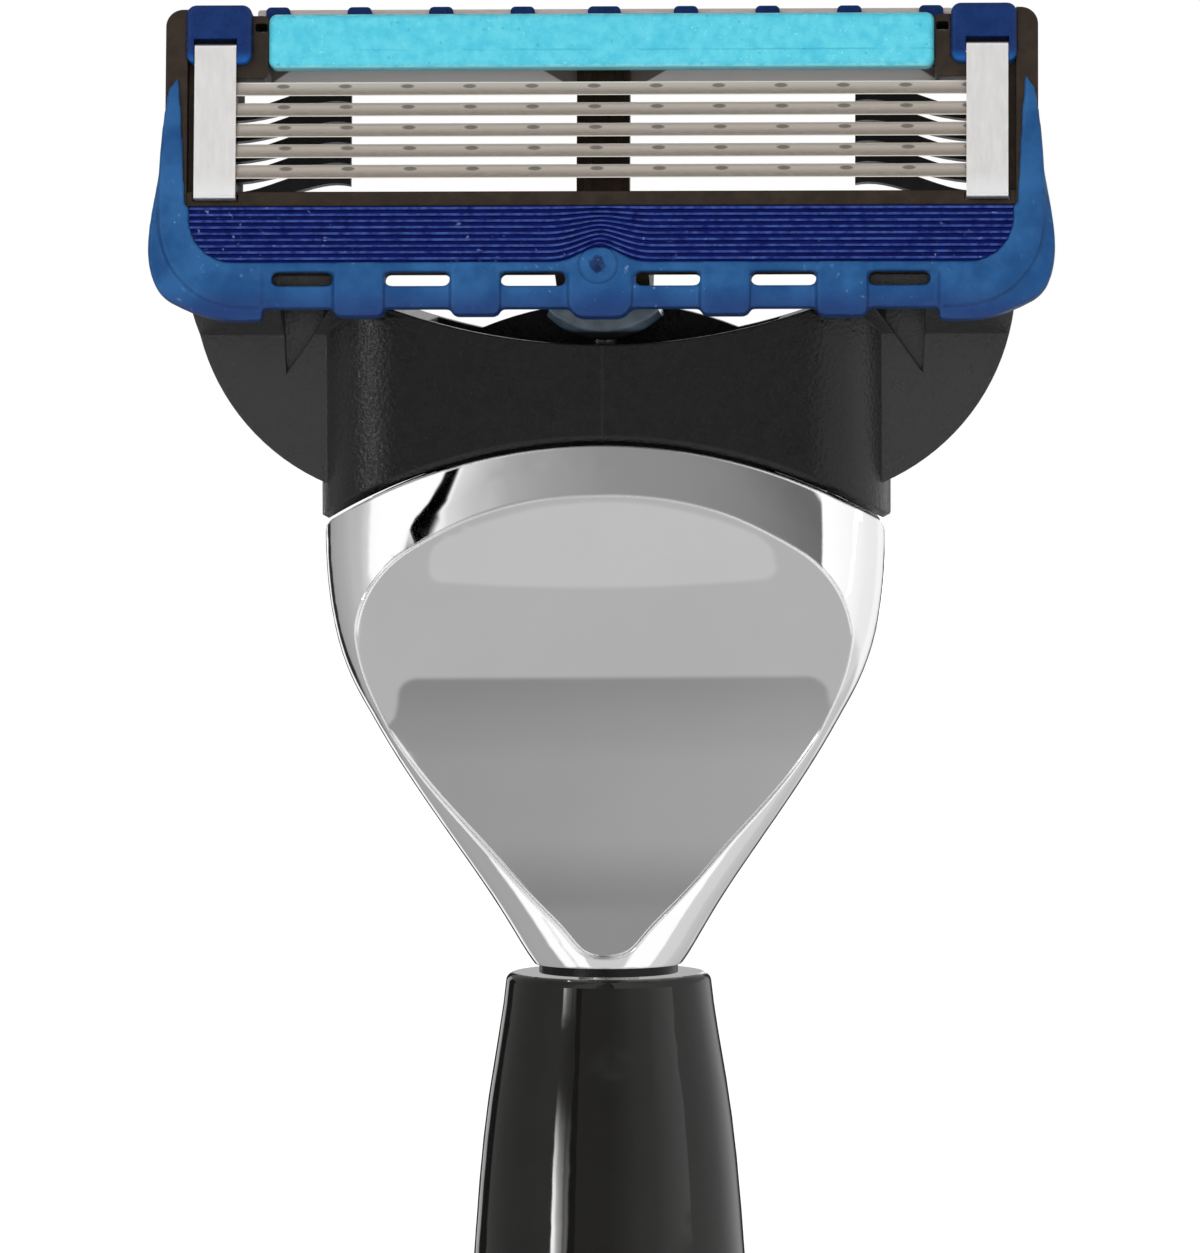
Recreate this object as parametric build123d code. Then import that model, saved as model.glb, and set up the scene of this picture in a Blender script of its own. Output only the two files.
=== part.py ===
"""Cartridge razor: a five-blade pivoting cartridge on a clip-on yoke, a bright
metal neck with a thumb dish, and a round handle with a metal end cap.

Millimetres. X runs across the head, the blades face -Y, Z runs up the handle
from the flat end of the cap. Heights in the neck and yoke are given above the
foot of the neck. The cartridge is drawn flat, as u across, v up its face and
w out of its face, and is then tilted back onto its pivot.
"""
import os
from math import atan2, cos, radians, sin, sqrt, tan

from build123d import *

os.makedirs("parts", exist_ok=True)

# ---------------------------------------------------------------- handle
FOOT_Z = 95.25                        # height of the neck's foot above the flat end
GRIP_BOTTOM = 6.5
GRIP_TOP = 95.0
GRIP_PROFILE = [                      # radius, height
    (7.15, 6.5), (7.78, 18.0), (8.30, 32.0), (8.42, 46.0), (7.95, 62.0),
    (7.30, 73.0), (6.70, 81.7), (5.95, 89.1), (5.24, 93.5), (5.07, 95.0),
]
GRIP_EDGE = 0.45
CAP_RADIUS = 7.15
CAP_FOOT_RADIUS = 6.2
CAP_SPIGOT = (4.6, 3.0)               # radius, length into the grip
ROD_RADIUS = 1.5
ROD_ENDS = (2.2, 100.4)
WASHER = (3.45, 0.45)                 # radius, thickness
FIT = 0.05                            # clearance of a close fit

# ---------------------------------------------------------------- neck
NECK_SECTIONS = [                     # height above the foot, half width
    (0.20, 3.68), (1.0, 4.2), (2.46, 5.05), (4.68, 6.45), (7.64, 8.48),
    (10.6, 10.42), (12.9, 11.75), (14.53, 12.6), (16.5, 13.27), (18.47, 13.63),
    (20.44, 13.8), (23.0, 13.8), (26.6, 13.8),
]
NECK_HALF_DEPTH = (3.68, 5.2, 20.0)   # at the foot, at the top, height it is reached
NECK_CORNER = 3.0
CROWN = (26.1, 26.5)                  # height of the top arc, its radius
CROWN_CORNER = 0.8
DISH_DEPTH = 2.1
DISH_LOWEST = 11.0                    # height of the deepest point
DISH_RADII = (60.0, 70.0)             # along the handle, across it
DISH_OUTLINE = [                      # half width, height above the foot
    (0.0, 23.65), (2.2, 23.56), (4.4, 23.2), (6.7, 22.45), (8.45, 21.6),
    (10.35, 20.4), (11.8, 18.5), (12.3, 15.8), (12.1, 14.5), (11.5, 13.3),
    (10.7, 12.0), (8.6, 9.1), (5.95, 6.16), (3.5, 3.45), (1.85, 1.72),
    (1.15, 0.98), (0.0, 0.72),
]
POCKET = (7.6, 12.0, 11.9, 20.0)      # half width low, height, half width high, height
POCKET_Y = (-1.9, 3.5)
POCKET_STEP = (18.2, -2.75)           # above this height the pocket reaches this far forward

# ---------------------------------------------------------------- dock and release
PLUNGER_Y = -1.0
DOCK_NOSE = (8.4, -2.7, 2.3, 27.5)    # half width, front, back, top height
SLIDE_Y = (2.4, 3.3)
SLIDE_TRAVEL = 3.0
SLIDE_HALF = 6.2
PRONG = (4.6, 24.2)                   # inner X, top height
SPRING_Y = 0.6                        # axis of the release spring and the two screws
SPRING_BORE = 1.5
SPRING_TOP = 17.2
PLUNGER_BORE = (18.0, 1.35)           # floor height, radius
BUTTON = (5.0, 13.2, 19.4, 0.95)      # half width, bottom, top, how far it stands out
SCREW_X = 5.6
SCREW_SHANK = (0.78, 7.5, 14.6)       # radius, from, to
SCREW_HEAD = (1.55, 14.4, 15.5)

# ---------------------------------------------------------------- yoke
SLEEVE = (14.05, 5.35, 4.0)           # half width, half depth, corner radius
SLEEVE_LIP = 0.38                     # bevel round the foot of the sleeve
SEAT_GAP = 0.12
RIM = (31.04, 30.85)                  # lowest height of the front rim, its radius
DOME = (32.97, 16.96)                 # top of the back wall, its radius
DOME_FRONT = 3.9
WING = (9.47, 34.12, 10.8)            # centre X, centre height, radius
WING_Y = (-3.0, 3.6)
FACET = [(15.85, 33.4), (15.7, 29.6), (13.0, 33.4)]
FACET_DEPTH = 0.5
ARM = (12.7, 20.2)                    # inner and outer X of the pivot arms
BOSS_RADIUS = 1.3
PIN = (1.1, 21.1)                     # radius, end

# ---------------------------------------------------------------- pivot and cam
PIVOT_Y = -4.4
PIVOT_UP = 35.0                       # height of the pivot above the foot
TILT = 10.0                           # the face leans back by this at rest
CAM_BASE = PLUNGER_Y - PIVOT_Y        # base circle of the involute
CAM_START = 2.0                       # plunger face below the pivot at rest
CAM_HALF = 2.3
CAM_GAP = 0.06
PLUNGER_HEAD = (2.85, 31.22, 2.2)     # half width, lowest height, half depth
PLUNGER_STEM = (1.05, 24.5)           # radius, lower end

# ---------------------------------------------------------------- cartridge
PIVOT_V = 3.13
PIVOT_W = -2.8
BLADES = 5
BLADE_EDGE_V = 6.955                  # lowest cutting edge
PITCH = 1.024
BLADE_ANGLE = 21.5
BLADE_LENGTH = 0.77
BLADE_THICK = 0.10
BLADE_HALF = 18.5
SUPPORT_THICK = 0.22
SUPPORT_SETBACK = 0.18                # from the cutting edge to the support
LEG_END = -2.4                        # depth of the lower ends of the supports
FINGER_UPPER = [                      # from a blade's edge: u, v
    (12.4, 0.70), (14.9, 0.60), (15.9, 0.27), (17.1, -0.12), (18.04, -0.28),
]
FINGER_LOWER = [(12.4, 0.10), (13.9, 0.08), (14.6, -0.10), (16.0, -0.48), (18.04, -0.82)]
FINGER_W = (-3.1, -2.42)
WALL_U = (20.3, 21.38)
WALL_V = (1.35, 15.4)
WALL_W = (-4.4, -0.2)
WALL_CORNER = 0.85
WALL_STEP = (4.3, -1.37)              # below this height the wall stops this far back
PLATE_V = (1.09, 6.36)                # plate behind the guard, and the window's lower edge
PLATE_W = (-1.25, -0.65)
RAIL_LOW = (5.65, -4.0, -0.4)         # lower edge, back, front of the rail under the blades
RAIL_HIGH = (13.0, 15.1, -2.6, -0.95)  # lower edge, upper edge, back, front
BLOCK = (18.05, 5.9, 14.9, -3.4, -1.12)  # inner u, v from, v to, back, front
SHOULDER = (16.33, 12.0, -2.6, -0.35)  # inner u, lower edge, back, front
STRUT_HALF = 1.3
STRUT_FRONT = -2.85
STRUT_RIB_U = 0.75
VENT = (16.4, 17.0, 14.3, 14.72)      # u from, u to, v from, v to
VENT_RISE = 0.42                      # the vents climb by this towards the back
CAP_END = (17.12, 20.35, 12.65, 15.55)   # u from, u to, v from, v to
CAP_NOTCH = (17.84, 19.97, 13.86)     # u from, u to, upper edge
CAP_SEAT = -0.95
CAP_FRONT = 0.35
CLIP_U = (17.88, 19.92)
CLIP_V = (5.93, 13.6)
CLIP_THICK = 0.25
CLIP_FLOOR = 0.05                     # underside of the clip's face
CLIP_BACK = (-4.5, -5.05)             # depth of the lower and the upper fold
STRIP_HALF = 16.3
STRIP_V = (12.45, 15.12)
STRIP_FRONT = 0.22
BAR_FRONT = -3.4                      # front of the trimmer carrier's bar
TRIMMER_V = (12.25, 16.15)
TRIMMER_W = (-4.52, -4.4)
TOOTH_PITCH = 4.03
TOOTH_HALF = 0.6
TOOTH_V = (15.0, 16.1)

# ---------------------------------------------------------------- guard
FRAME_LIP = [                         # outer edge of the front lip: u, v
    (21.25, 11.4), (21.5, 9.6), (21.62, 8.2), (21.7, 6.6), (21.62, 4.3), (21.3, 3.1),
    (20.8, 2.25), (19.6, 1.15), (18.3, 0.7), (16.6, 0.6),
]
FRAME_ROLL = [                        # outer edge of the roll behind it
    (21.4, 8.9), (21.62, 7.6), (21.88, 6.2), (22.12, 4.7), (22.2, 3.6), (22.0, 2.2),
    (21.56, 1.35), (20.5, 0.68), (19.3, 0.2), (17.9, 0.0), (16.55, 0.03),
]
LIP_W = (-0.75, 0.05)
LIP_ROUND = 0.15
LIP_END_U = 16.55                     # inner end of the lip below the fins
ROLL_W = (-1.35, -0.27)
ROLL_INNER = [(16.55, 3.1), (18.6, 3.6), (19.9, 4.28), (21.4, 4.28), (21.4, 8.9)]
RAIL_FRONT = 0.0                      # front of the rail below the fins
TAB_FRONT = 0.1
TAB_ROUND = 0.1
CHEEK_INNER = [(20.36, 5.6), (20.5, 9.0), (20.72, 12.1)]
BAR_BOTTOM = 0.6
BAR_W = (-1.25, -0.2)
SLOTS = [(1.7, 4.89), (7.37, 10.55), (13.1, 16.1)]   # u from, u to
SLOT_V = (1.68, 2.34)
TABS = [(4.89, 7.32, 0.23), (10.58, 13.05, 0.16)]    # u from, u to, lower end
TOMB = (1.56, 0.1, 3.52)              # half width, bottom, top of the centre tab
GATE = (-0.15, 2.53, 0.72, 0.17)      # u, v, radius of the gate mark, radius of its pit
FIN_V = (2.81, 5.60)
FIN_HALF = 20.15
FIN_CORNER = [(20.15, 4.9), (19.35, 3.3), (17.9, 2.81)]
FIN_COUNT = 9
FIN_W = (-0.65, -0.2, 0.1)            # back, floor of the grooves, crest
FIN_THICK = 0.11
FIN_LIFT = 0.78                       # how far the fins' lower edge bends over the centre tab
FIN_BEND = 2.6                        # half width of that bend


def front_prism(sketch, y_front, y_back):
    """Extrudes a sketch drawn as (X, Z) from one Y to another."""
    return extrude(Plane.XZ.offset(-y_back) * sketch, y_back - y_front)


def side_prism(sketch, x_from, x_to):
    """Extrudes a sketch drawn as (Y, Z) from one X to another."""
    return extrude(Plane.YZ.offset(x_from) * sketch, x_to - x_from)


def face_prism(sketch, w_back, w_front):
    """Extrudes a sketch drawn as (u, v) between two depths."""
    return extrude(Plane.XY.offset(w_back) * sketch, w_front - w_back)


def end_prism(points, u_from, u_to):
    """Extrudes a (v, w) polygon along u."""
    return extrude(Plane.YZ.offset(u_from) * outline(points), u_to - u_from)


def outline(points):
    """Closed polygon through the points."""
    return make_face(Polyline(*points, close=True))


def block(x, y, z):
    """Box between pairs of limits."""
    size = [high - low for low, high in (x, y, z)]
    middle = [(high + low) / 2 for low, high in (x, y, z)]
    return Pos(*middle) * Box(*size)


def plate(x, y, corner):
    """Rounded rectangle between pairs of limits."""
    (x_low, x_high), (y_low, y_high) = x, y
    middle = Pos((x_low + x_high) / 2, (y_low + y_high) / 2)
    return middle * RectangleRounded(x_high - x_low, y_high - y_low, corner)


def both_sides(shape):
    """The shape and its mirror image across X = 0."""
    return shape + mirror(shape, Plane.YZ)


def rod(radius, z_from, z_to, x=0.0, y=0.0):
    """Cylinder along Z."""
    return Pos(x, y, (z_from + z_to) / 2) * Cylinder(radius, z_to - z_from)


def coil(radius, wire, z_from, z_to, turns, x=0.0, y=0.0):
    """Compression spring along Z, inside the two heights."""
    length = z_to - z_from - 2 * wire
    path = Pos(x, y, z_from + wire) * Helix(length / turns, length, radius)
    start = Plane(origin=path @ 0, z_dir=path % 0)
    return sweep(start * Circle(wire), path)


def lift(z):
    """Absolute height of something measured from the neck's foot."""
    return FOOT_Z + z


def disc(centre_z, radius):
    """Circle on the X = 0 line of the front view."""
    return Pos(0, lift(centre_z)) * Circle(radius)


# ================================================================ handle

# Turned resin grip, bored for the rod that draws the handle together.
bottom_radius, top_radius = GRIP_PROFILE[0][0], GRIP_PROFILE[-1][0]
half = make_face(Spline(*GRIP_PROFILE) + Polyline(
    (top_radius, GRIP_TOP), (0, GRIP_TOP), (0, GRIP_BOTTOM), (bottom_radius, GRIP_BOTTOM)))
grip = revolve(Plane.XZ * half, Axis.Z)
grip = fillet(grip.edges().group_by(Axis.Z)[-1], GRIP_EDGE)
spigot_radius, spigot_length = CAP_SPIGOT
grip -= rod(spigot_radius + FIT, GRIP_BOTTOM, GRIP_BOTTOM + spigot_length + 2 * FIT)
grip -= rod(ROD_RADIUS + FIT, GRIP_BOTTOM, GRIP_TOP)

# Plated end cap with a flat foot, a spigot in the grip and a blind threaded hole.
foot_curve = ThreePointArc((CAP_FOOT_RADIUS, 0), (CAP_RADIUS - 0.2, 0.75), (CAP_RADIUS, 1.9))
end_cap = revolve(Plane.XZ * make_face(foot_curve + Polyline(
    foot_curve @ 1, (CAP_RADIUS, GRIP_BOTTOM - 0.3), (CAP_RADIUS - 0.15, GRIP_BOTTOM),
    (0, GRIP_BOTTOM), (0, 0), foot_curve @ 0)), Axis.Z)
end_cap += rod(spigot_radius, GRIP_BOTTOM - 0.5, GRIP_BOTTOM + spigot_length)
end_cap -= rod(ROD_RADIUS + FIT, ROD_ENDS[0], GRIP_BOTTOM + spigot_length + 1)

# Steel rod threaded into the cap and the neck.
tie_rod = rod(ROD_RADIUS, *ROD_ENDS)
tie_rod = chamfer(tie_rod.edges().filter_by(GeomType.CIRCLE), 0.3)

# Black washer between the neck and the grip.
neck_washer = rod(WASHER[0], GRIP_TOP, GRIP_TOP + WASHER[1])
neck_washer -= rod(ROD_RADIUS + FIT, GRIP_TOP - 1, GRIP_TOP + 1)

# ================================================================ neck


def half_depth(z):
    """Half the neck's depth at a height above its foot."""
    low, high, reached = NECK_HALF_DEPTH
    return low + (high - low) * min(z, reached) / reached


def neck_section(z, half_width):
    """Section of the neck: round at the foot, a flattened oblong at the top."""
    depth = half_depth(z)
    corner = min(depth, half_width, NECK_CORNER + 0.65 * max(0, 1 - z / 5)) * 0.995
    return Plane.XY.offset(lift(z)) * RectangleRounded(2 * half_width, 2 * depth, corner)


crown_top, crown_radius = CROWN
neck_half = NECK_SECTIONS[-1][1]
neck_shell = loft([neck_section(z, w) for z, w in NECK_SECTIONS])
crown_face = disc(crown_top - crown_radius, crown_radius)
crown_face &= Pos(0, lift(10)) * Rectangle(2 * neck_half + 0.02, 60)
crown_ends = crown_face.vertices().group_by(Axis.Y)[-1]
neck_shell &= front_prism(fillet(crown_ends, CROWN_CORNER), -9, 9)

# Thumb dish: a barrel-shaped floor inside a shield outline.
along, across = DISH_RADII
reach = neck_half + 0.2
drop = across - sqrt(across**2 - reach**2)
bow = ThreePointArc((-reach, along - drop), (0, along), (reach, along - drop))
barrel = revolve(make_face(bow + Polyline(
    bow @ 0, (-reach, along / 2), (reach, along / 2), bow @ 1)), Axis.X)
lean = atan2(NECK_HALF_DEPTH[1] - NECK_HALF_DEPTH[0], NECK_HALF_DEPTH[2])
floor_y = -half_depth(DISH_LOWEST) + DISH_DEPTH
barrel = Pos(0, floor_y - along * cos(lean), lift(DISH_LOWEST) - along * sin(lean)) * barrel
right = [(w, lift(z)) for w, z in DISH_OUTLINE]
left = [(-w, z) for w, z in reversed(right)][1:-1]
shield = make_face(Spline(*right, *left, periodic=True))
neck_shell -= barrel & front_prism(shield, -9, 0)

# Socket for the rod, and the pocket for the dock.
neck_shell -= rod(ROD_RADIUS + FIT, lift(0), ROD_ENDS[1])
low_half, low_z, high_half, high_z = POCKET
pocket_face = outline([
    (-low_half, lift(low_z)), (low_half, lift(low_z)), (high_half, lift(high_z)),
    (high_half, lift(30)), (-high_half, lift(30)), (-high_half, lift(high_z)),
])
neck_shell -= front_prism(pocket_face, *POCKET_Y)
neck_shell -= block((-high_half + 1, high_half - 1), (POCKET_STEP[1], 0), (lift(POCKET_STEP[0]), lift(30)))

# Slot and shallow track in the back for the release button, and the screw holes.
button_half, button_low, button_high, button_out = BUTTON
stem_half = 1.3
neck_back = NECK_HALF_DEPTH[1]
neck_shell -= block((-stem_half - 0.3, stem_half + 0.3), (POCKET_Y[1] - 0.5, 7),
                    (lift(button_low + 1.2), lift(button_high + 2.2)))
neck_shell -= block((-button_half - 0.3, button_half + 0.3), (neck_back - 1.05, 7),
                    (lift(button_low - 0.3), lift(button_high + SLIDE_TRAVEL + 0.3)))
for x in (-SCREW_X, SCREW_X):
    neck_shell -= rod(SCREW_SHANK[0] + 0.02, lift(SCREW_SHANK[1]), lift(low_z) + 1, x, SPRING_Y)

# ================================================================ dock

# Plastic dock: fills the pocket and carries the nose the yoke slides onto.
nose_half, nose_front, nose_back, nose_top = DOCK_NOSE
dock = front_prism(pocket_face, POCKET_Y[0] + FIT, SLIDE_Y[0] - 0.1)
dock &= block((-20, 20), (-5, 5), (lift(low_z), lift(20.5)))
nose_face = plate((-nose_half, nose_half), (nose_front, nose_back), 0.8)
dock += extrude(Plane.XY.offset(lift(POCKET_STEP[0] + 0.1)) * nose_face, nose_top - POCKET_STEP[0] - 0.1)
dock = fillet(dock.edges().group_by(Axis.Z)[-1], 0.5)
dock -= rod(SPRING_BORE, lift(low_z) - 1, lift(SPRING_TOP), 0, SPRING_Y)
dock -= block((-0.95, 0.95), (SPRING_Y, 5), (lift(low_z) - 1, lift(low_z + 1.8 + SLIDE_TRAVEL)))
dock -= rod(PLUNGER_BORE[1], lift(PLUNGER_BORE[0]), lift(nose_top) + 1, 0, PLUNGER_Y)
for x in (-SCREW_X, SCREW_X):
    dock -= rod(SCREW_SHANK[0] + 0.17, lift(low_z) - 1, lift(16), x, SPRING_Y)
    dock -= rod(SCREW_HEAD[0] + 0.1, lift(SCREW_HEAD[1]), lift(30), x, SPRING_Y)

# The two slotted screws that hold the dock down.
screw = rod(SCREW_SHANK[0], lift(SCREW_SHANK[1]), lift(SCREW_SHANK[2]))
screw += rod(SCREW_HEAD[0], lift(SCREW_HEAD[1]), lift(SCREW_HEAD[2]))
screw -= block((-2, 2), (-0.2, 0.2), (lift(SCREW_HEAD[2] - 0.5), lift(16)))
dock_screw = Compound(children=[
    Solid((Pos(x, SPRING_Y, 0) * screw).solid().wrapped) for x in (-SCREW_X, SCREW_X)])

# Release slide: a plate with two prongs behind the dock, and a foot under its spring.
slide_foot = (lift(low_z + 0.1), lift(low_z + 1.1))
slide_face = plate((-SLIDE_HALF, SLIDE_HALF), (slide_foot[0], lift(21.0)), 0.6)
slide_face += both_sides(plate((PRONG[0], SLIDE_HALF), (lift(19), lift(PRONG[1])), 0.5))
slide_face -= plate((-1.55, 1.55), (lift(16.0), lift(17.6)), 0.2)
release_slide = front_prism(slide_face, *SLIDE_Y)
release_slide += rod(SPRING_BORE - 0.15, *slide_foot, 0, SPRING_Y)
release_slide += block((-0.85, 0.85), (SPRING_Y, SLIDE_Y[0] + 0.1), slide_foot)
release_spring = coil(1.05, 0.17, slide_foot[1], lift(SPRING_TOP), 5, 0, SPRING_Y)

# Ridged release button on the back of the neck, clipped through the slot.
button_face = plate((-button_half, button_half), (lift(button_low), lift(button_high)), 1.2)
release_button = front_prism(button_face, neck_back - 0.95, neck_back + button_out)
release_button = fillet(release_button.faces().sort_by(Axis.Y)[-1].edges(), 0.45)
groove = Rot(0, 90, 0) * Cylinder(0.3, 2 * button_half + 1)
for i in range(6):
    release_button -= Pos(0, neck_back + button_out + 0.12, lift(button_low + 1.1 + 0.8 * i)) * groove
release_button += block((-stem_half, stem_half), (SLIDE_Y[1], neck_back - 0.8), (lift(15.2), lift(18.3)))
release_button += block((-1.5, 1.5), (SLIDE_Y[0], SLIDE_Y[1] + 0.1), (lift(16.05), lift(17.55)))

# ================================================================ plunger

# Spring-loaded plunger with a rounded head and a flat face under the cam.
head_half, head_low, head_depth = PLUNGER_HEAD
head_top = PIVOT_UP - CAM_START - CAM_GAP
head_side = lift(head_top - 0.55)
bowl = ThreePointArc((-head_half, head_side), (0, lift(head_low)), (head_half, head_side))
plunger = front_prism(make_face(bowl + Polyline(
    bowl @ 1, (head_half - 0.25, lift(head_top)), (0.25 - head_half, lift(head_top)), bowl @ 0)),
    PLUNGER_Y - head_depth, PLUNGER_Y + head_depth)
plunger = fillet(plunger.edges().filter_by(GeomType.CIRCLE), 0.5)
plunger += rod(PLUNGER_STEM[0], lift(PLUNGER_STEM[1]), lift(head_low + 0.8), 0, PLUNGER_Y)
plunger_spring = coil(0.95, 0.18, lift(PLUNGER_BORE[0]), lift(PLUNGER_STEM[1]), 7, 0, PLUNGER_Y)

# ================================================================ yoke

# Sleeve over the neck: an arched foot, a low front rim and a domed back wall.
sleeve_half, sleeve_depth, sleeve_corner = SLEEVE
rim_low, rim_radius = RIM
dome_top, dome_radius = DOME
sleeve_section = RectangleRounded(2 * sleeve_half, 2 * sleeve_depth, sleeve_corner)
sleeve = extrude(Plane.XY.offset(lift(20)) * sleeve_section, 14)
sleeve -= front_prism(disc(crown_top - crown_radius, crown_radius + SEAT_GAP), -9, 9)
above_rim = disc(rim_low + rim_radius, rim_radius)
sleeve -= front_prism(above_rim, -9, DOME_FRONT)
sleeve -= front_prism(above_rim - disc(dome_top - dome_radius, dome_radius), DOME_FRONT, 9)
sleeve = chamfer(sleeve.edges().group_by(Axis.Y)[0].sort_by(Axis.Z)[0], SLEEVE_LIP)

# Wings: discs cut off by the sleeve, set back from its front, with the pivot arms on top.
wing_x, wing_z, wing_r = WING
arm_inner, arm_outer = ARM
wing_face = (Pos(wing_x, lift(wing_z)) * Circle(wing_r)) & outline([
    (9.0, lift(20)), (30, lift(20)), (30, lift(PIVOT_UP)), (arm_inner, lift(PIVOT_UP)), (9.0, lift(31.0))])
wing_face &= Pos(0, lift(PIVOT_UP)) * Rectangle(2 * arm_outer, 60)
wing_side = outline([
    (WING_Y[0], lift(20)), (WING_Y[0], lift(31.5)), (PIVOT_Y - 1.3, lift(33.2)),
    (PIVOT_Y - 1.3, lift(PIVOT_UP)), (PIVOT_Y + 1.3, lift(PIVOT_UP)),
    (WING_Y[1], lift(27)), (WING_Y[1], lift(20)),
])
wing = front_prism(wing_face, -6, 6) & side_prism(wing_side, 0, 25)
wing -= front_prism(disc(crown_top - crown_radius, crown_radius + SEAT_GAP), -9, 9)
wing -= front_prism(above_rim, -9, 9) & block((0, arm_inner), (-9, 9), (lift(20), lift(40)))
wing -= front_prism(outline([(x, lift(z)) for x, z in FACET]), -9, WING_Y[0] + FACET_DEPTH)
boss = Pos(0, PIVOT_Y, lift(PIVOT_UP)) * Rot(0, 90, 0)
pin_radius, pin_end = PIN
wing += boss * Pos(0, 0, (17.2 + arm_outer) / 2) * Cylinder(BOSS_RADIUS, arm_outer - 17.2)
wing += boss * Pos(0, 0, (arm_outer + pin_end) / 2 - 0.5) * Cylinder(pin_radius, pin_end - arm_outer + 1)
interconnect = sleeve + both_sides(wing)

# Cavity for the dock's nose and the release prongs, and the window for the plunger.
nose_gap = 0.25
interconnect -= block((-nose_half - nose_gap, nose_half + nose_gap),
                      (nose_front - nose_gap, SLIDE_Y[1] + 0.35), (lift(18), lift(nose_top + nose_gap)))
interconnect -= block((-3.4, 3.4), (PLUNGER_Y - 2.6, PLUNGER_Y + 2.6), (lift(25), lift(34)))
interconnect -= block((-8.6, 8.6), (-4.3, DOME_FRONT), (lift(28.6), lift(40)))

# ================================================================ cartridge

tilt_sin = sin(radians(TILT))
tilt_cos = cos(radians(TILT))
face_y = PIVOT_Y + PIVOT_W * tilt_cos - PIVOT_V * tilt_sin
face_z = lift(PIVOT_UP) - PIVOT_W * tilt_sin - PIVOT_V * tilt_cos
head = Plane(origin=(0, face_y, face_z), x_dir=(1, 0, 0), z_dir=(0, -tilt_cos, tilt_sin)).location

blade_run = BLADE_LENGTH * cos(radians(BLADE_ANGLE))
blade_drop = BLADE_LENGTH * sin(radians(BLADE_ANGLE))
edges_v = [BLADE_EDGE_V + PITCH * k for k in range(BLADES)]

# Black moulded housing: end walls, guard plate, rails, side blocks and centre strut.
wall_in, wall_out = WALL_U
wall_corners = Rectangle(wall_out - wall_in, WALL_V[1] - WALL_V[0]).vertices()
wall_face = Pos((wall_in + wall_out) / 2, sum(WALL_V) / 2) * fillet(
    wall_corners.group_by(Axis.X)[-1], WALL_CORNER)
wall = face_prism(wall_face, *WALL_W)
wall -= block((wall_in - 1, wall_out + 1), (0, WALL_STEP[0]), (WALL_STEP[1], 1))
rail_low, rail_low_back, rail_low_front = RAIL_LOW
block_in, block_low, block_high, block_back, block_front = BLOCK
shoulder_in, shoulder_low, shoulder_back, shoulder_front = SHOULDER
span = (-wall_in - 0.2, wall_in + 0.2)
window_low = PLATE_V[1]
housing = both_sides(wall)
housing += block(span, PLATE_V, PLATE_W)
housing += block(span, (rail_low, window_low), (rail_low_back, rail_low_front))
housing += block(span, RAIL_HIGH[:2], RAIL_HIGH[2:])
housing += both_sides(block((block_in, span[1]), (block_low, block_high), (block_back, block_front)))
shoulder_face = plate((shoulder_in, block_in + 0.2), (shoulder_low, RAIL_HIGH[1]), 0.3)
housing += both_sides(face_prism(shoulder_face, shoulder_back, shoulder_front))
strut_v = (window_low - 0.2, RAIL_HIGH[0] + 0.1)
housing += block((-STRUT_HALF, STRUT_HALF), strut_v, (rail_low_back, STRUT_FRONT))
housing += block((-STRUT_HALF, STRUT_HALF), RAIL_HIGH[:2], (BAR_FRONT + 0.02, RAIL_HIGH[2]))
for u in (-STRUT_RIB_U, STRUT_RIB_U):
    housing += block((u - 0.2, u + 0.2), strut_v, (STRUT_FRONT - 0.3, STRUT_FRONT + 0.2))

# Slots through the guard plate.
slot_low, slot_high = SLOT_V
slots = both_sides(Compound(children=[
    face_prism(plate(slot, SLOT_V, 0.28), -5, 1) for slot in SLOTS]))
housing -= slots

# Slots in the side blocks that guide the ends of the blade supports.
for v in edges_v:
    middle = v + blade_run - SUPPORT_THICK / 2
    housing -= both_sides(block((17, BLADE_HALF + 0.15), (middle - 0.2, middle + 0.2), (LEG_END - 0.5, 0)))

# Bores for the pivot pins, slots for the clips, vents beside the strip, seats for the end caps.
housing -= Pos(0, PIVOT_V, PIVOT_W) * Rot(0, 90, 0) * Cylinder(pin_radius + FIT, 60)
clip_low, clip_high = CLIP_V
clip_slot_u = (CLIP_U[0] - 0.1, CLIP_U[1] + 0.1)
for v in (clip_low - FIT, clip_high - CLIP_THICK - FIT):
    housing -= both_sides(block(clip_slot_u, (v, v + CLIP_THICK + 2 * FIT), (-6, 1)))
vent_front = face_prism(plate(VENT[:2], VENT[2:], 0.12), -3.0, 1)
vent_back = face_prism(Pos(0, VENT_RISE) * plate(VENT[:2], VENT[2:], 0.12), -6, -2.7)
vents = both_sides(vent_front) + both_sides(vent_back)
housing -= vents
cap_face = plate(CAP_END[:2], CAP_END[2:], 0.5)
housing -= both_sides(face_prism(cap_face, CAP_SEAT, 1))
housing = head * housing

# Cam nose on the back: an involute, so the plunger moves evenly as the head turns.
cam_angle = CAM_START / CAM_BASE


def cam_point(angle):
    """Point of the cam's face, in (Y, Z), with the head at rest."""
    turn = angle - cam_angle
    y = CAM_BASE * (cos(turn) + angle * sin(turn))
    z = CAM_BASE * (sin(turn) - angle * cos(turn))
    return PIVOT_Y + y, lift(PIVOT_UP) + z


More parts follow.
